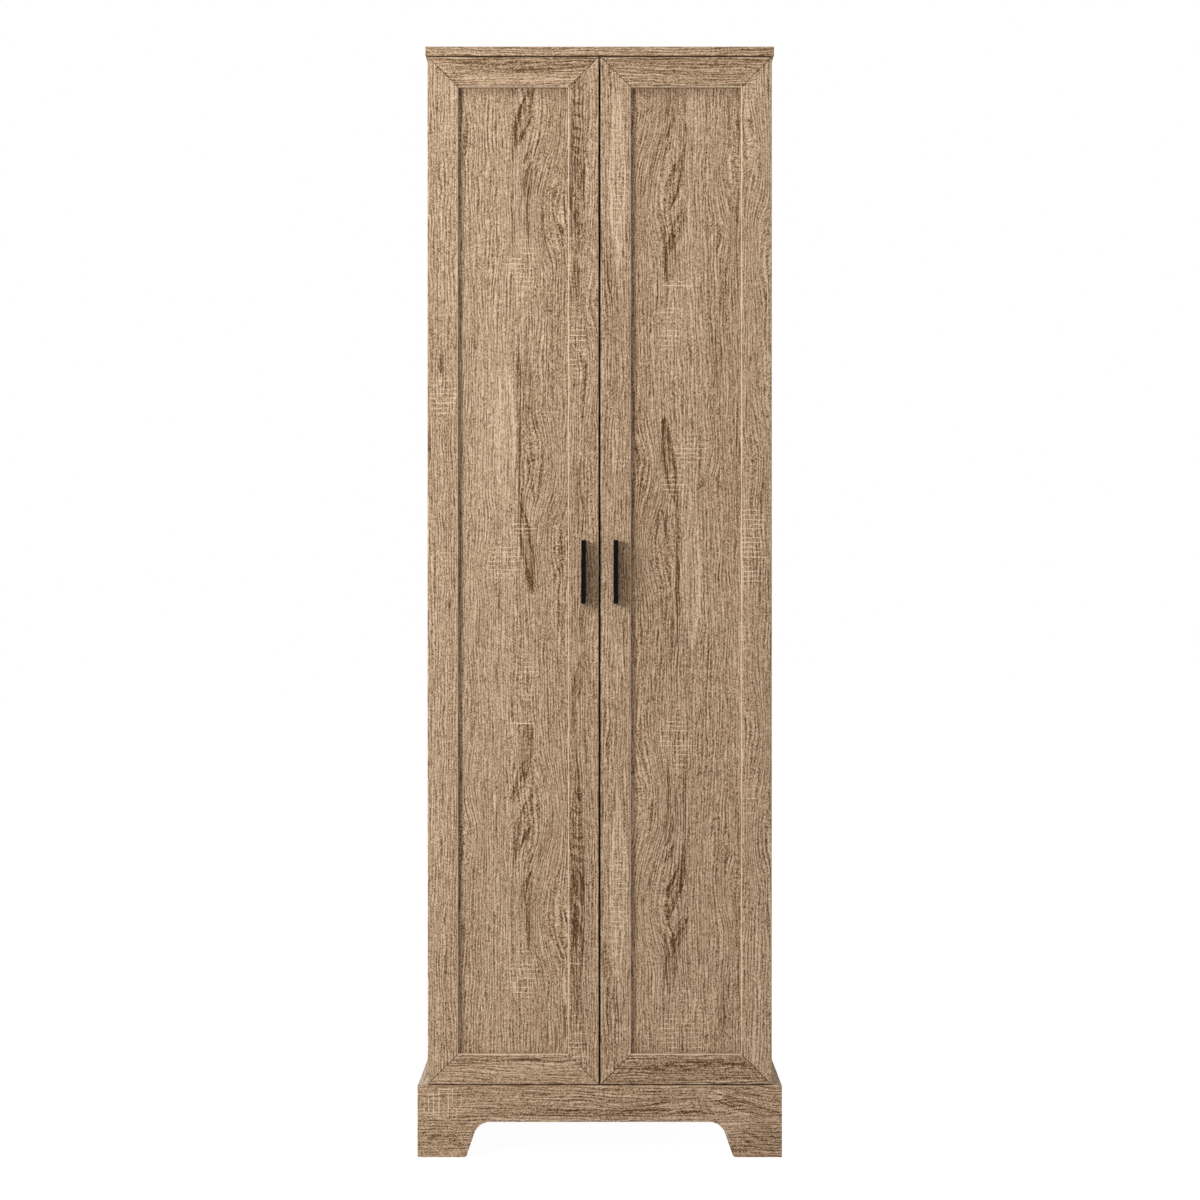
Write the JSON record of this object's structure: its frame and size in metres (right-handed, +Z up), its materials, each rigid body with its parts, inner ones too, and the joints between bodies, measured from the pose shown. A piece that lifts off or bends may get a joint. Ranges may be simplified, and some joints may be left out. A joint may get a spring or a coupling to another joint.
{
  "type": "bathroom cabinet",
  "caption": "Tall two-door bathroom cabinet with mitred frame doors, slim bar handles, inner shelves and a plinth on bracket feet.",
  "frame": {"origin": "on the floor, under the centre of the box round the whole cabinet, handles included", "axes": "+Z up, the doors face -Y, +X to the right seen from the front"},
  "size_m": [0.6, 0.422, 1.83],
  "materials": {
    "oak_upright": "satin oak print, upright grain",
    "oak_level": "satin oak print, level grain",
    "oak_deep": "satin oak print, grain front to back",
    "hardboard": "plain hardboard",
    "raw_wood": "bare timber",
    "black_metal": "matt black",
    "hinge_steel": "nickel plated",
    "zinc_alloy": "die cast, dull",
    "zinc_plated_steel": "zinc plated",
    "white_plastic": "matt white",
    "clear_rubber": "soft, clear"
  },
  "bodies": {
    "cabinet": {"side_panel_left": "oak_upright", "side_panel_right": "oak_upright", "top_panel": "oak_level", "bottom_panel": "oak_level", "fixed_shelf": "oak_level", "adjustable_shelf_1": "oak_level", "adjustable_shelf_2": "oak_level", "adjustable_shelf_3": "oak_level", "adjustable_shelf_4": "oak_level", "back_panel_lower": "hardboard", "back_panel_upper": "hardboard", "top_back_rail": "oak_level", "plinth_front": "oak_level", "plinth_side_left": "oak_deep", "plinth_side_right": "oak_deep", "plinth_back_rail": "oak_level", "plinth_corner_blocks": "raw_wood", "floor_glides": "white_plastic", "shelf_pins": "zinc_plated_steel", "cam_locks": "zinc_alloy", "cam_bolts": "zinc_plated_steel", "wood_dowels": "raw_wood", "back_panel_nails": "zinc_plated_steel", "plinth_screws": "zinc_plated_steel", "magnetic_catch": "white_plastic", "catch_screws": "zinc_plated_steel", "hinge_plates": "hinge_steel", "hinge_plate_screws": "zinc_plated_steel", "hinge_arms": "hinge_steel", "hinge_arm_pins": "zinc_plated_steel", "hinge_clamp_screws": "zinc_plated_steel"},
    "hinge_link_set_left": {"hinge_links_left": "hinge_steel"},
    "door_left": {"door_left_hinge_stile": "oak_upright", "door_left_handle_stile": "oak_upright", "door_left_top_rail": "oak_level", "door_left_bottom_rail": "oak_level", "door_left_panel": "oak_upright", "door_left_corner_dowels": "raw_wood", "door_left_handle": "black_metal", "door_left_handle_screws": "zinc_plated_steel", "door_left_hinge_cups": "hinge_steel", "door_left_hinge_cup_pins": "zinc_plated_steel", "door_left_hinge_cup_screws": "zinc_plated_steel", "door_left_strike_plate": "hinge_steel", "door_left_bumper": "clear_rubber"},
    "hinge_link_set_right": {"hinge_links_right": "hinge_steel"},
    "door_right": {"door_right_hinge_stile": "oak_upright", "door_right_handle_stile": "oak_upright", "door_right_top_rail": "oak_level", "door_right_bottom_rail": "oak_level", "door_right_panel": "oak_upright", "door_right_corner_dowels": "raw_wood", "door_right_handle": "black_metal", "door_right_handle_screws": "zinc_plated_steel", "door_right_hinge_cups": "hinge_steel", "door_right_hinge_cup_pins": "zinc_plated_steel", "door_right_hinge_cup_screws": "zinc_plated_steel", "door_right_strike_plate": "hinge_steel", "door_right_bumper": "clear_rubber"}
  },
  "joints": [
    {"name": "door_left_swing", "type": "hinge", "parent": "hinge_link_set_left", "child": "door_left", "pos_m": [-0.2695, -0.1735, 0.9675], "axis": [0, 0, -1], "range_deg": [0, 142.5]},
    {"name": "hinge_link_left_turn", "type": "hinge", "parent": "cabinet", "child": "hinge_link_set_left", "pos_m": [-0.251, -0.1775, 0.9675], "axis": [0, 0, -1], "range_deg": [-47.5, 0]},
    {"name": "door_right_swing", "type": "hinge", "parent": "hinge_link_set_right", "child": "door_right", "pos_m": [0.2695, -0.1735, 0.9675], "axis": [0, 0, 1], "range_deg": [0, 142.5]},
    {"name": "hinge_link_right_turn", "type": "hinge", "parent": "cabinet", "child": "hinge_link_set_right", "pos_m": [0.251, -0.1775, 0.9675], "axis": [0, 0, 1], "range_deg": [-47.5, 0]}
  ],
  "couplings": [
    {"joint": "hinge_link_left_turn", "follows": "door_left_swing", "ratio": -0.33333},
    {"joint": "hinge_link_right_turn", "follows": "door_right_swing", "ratio": -0.33333}
  ]
}
